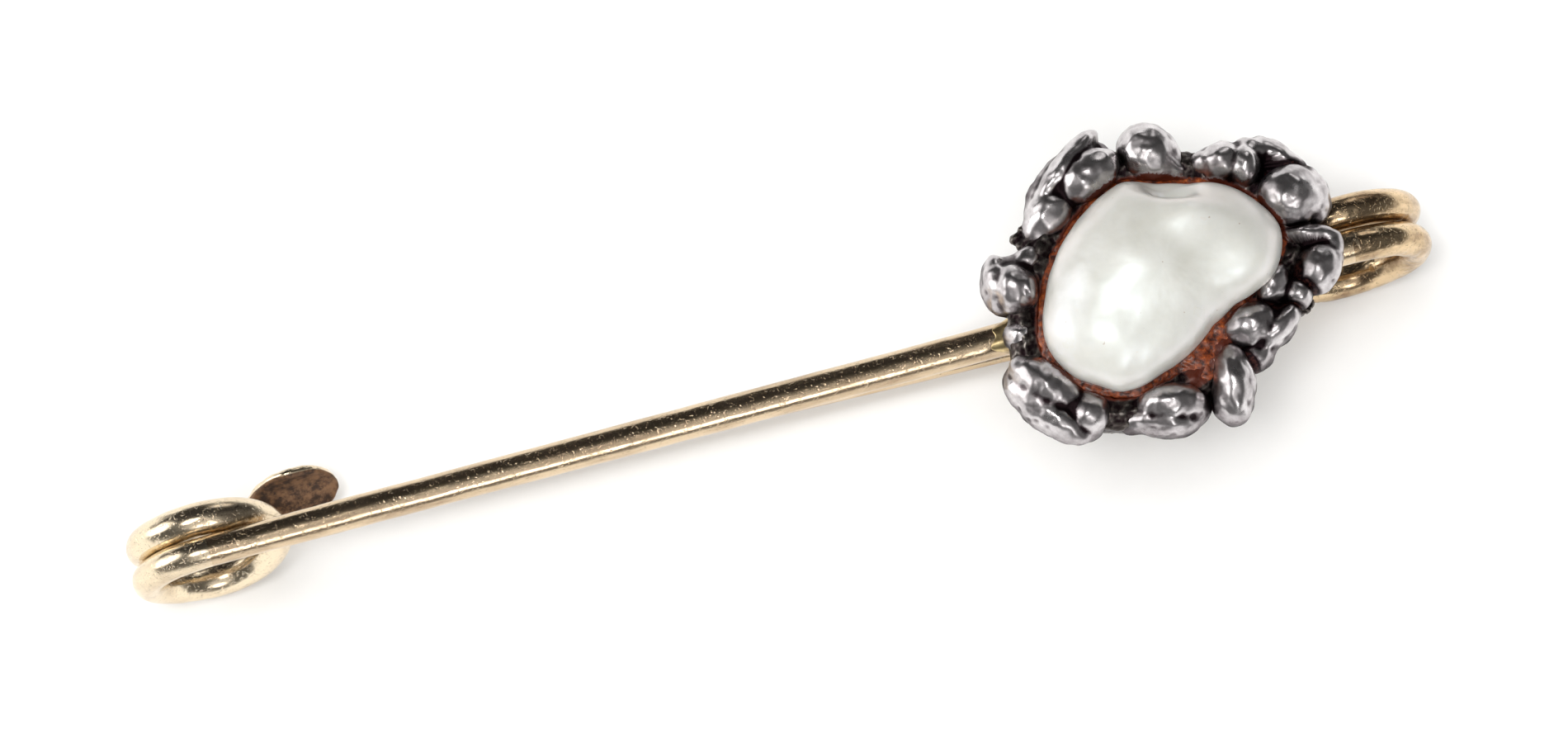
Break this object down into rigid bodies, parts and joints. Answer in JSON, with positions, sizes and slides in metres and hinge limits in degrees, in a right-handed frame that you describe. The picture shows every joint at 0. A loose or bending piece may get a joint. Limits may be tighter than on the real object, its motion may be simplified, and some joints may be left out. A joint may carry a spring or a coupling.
{
  "type": "bar brooch",
  "caption": "Safety-pin style brooch: a gold wire bar coiled into a hook catch and a spring for its pin stem, with a baroque pearl in a ring of molten silver nuggets.",
  "frame": {"origin": "on the axis of the pin stem, at the middle of its straight stretch of constant radius", "axes": "+X along the bar, from the catch towards the spring coil and the pearl; +Z away from the wearer, out through the pearl; +Y across the bar, to the side on which the second turn of each coil and the rolled leaf of the catch lie"},
  "size_m": [0.06, 0.0142, 0.0128],
  "materials": {
    "gold": "polished, with fine scratches and brown tarnish in the hollows",
    "worn_silver": "worn bright on the high spots, oxidised nearly black in the creases",
    "dark_silver": "dull oxidised silver",
    "pale_solder": "pale, slightly rough",
    "pearl": "nacre, a soft sheen with a faint pink and green cast",
    "red_cement": "resin cement, grainy and a little glossy"
  },
  "bodies": {
    "brooch": {"front_bar": "gold", "catch_coil": "gold", "catch_hook": "gold", "spring_coil": "gold", "back_plate": "dark_silver", "solder_flare": "pale_solder", "cement_bed": "red_cement", "pearl": "pearl", "nugget_knob": "worn_silver", "nugget_bean": "worn_silver", "nugget_dome": "worn_silver", "nugget_crumpled": "worn_silver", "nugget_ball": "worn_silver", "nugget_shoulder": "worn_silver", "nugget_finger": "worn_silver", "nugget_cheek": "worn_silver", "nugget_thumb": "worn_silver", "nugget_heel": "worn_silver", "nugget_foot": "worn_silver", "nugget_crumb": "worn_silver"},
    "stem": {"pin_stem": "gold"}
  },
  "joints": [
    {"name": "pin_swing", "type": "hinge", "parent": "brooch", "child": "stem", "pos_m": [0.02653, -0.00026, 0.00268], "axis": [0, -0.9511, 0.309], "range_deg": [0, 25], "deforming": ["spring_coil"]}
  ]
}
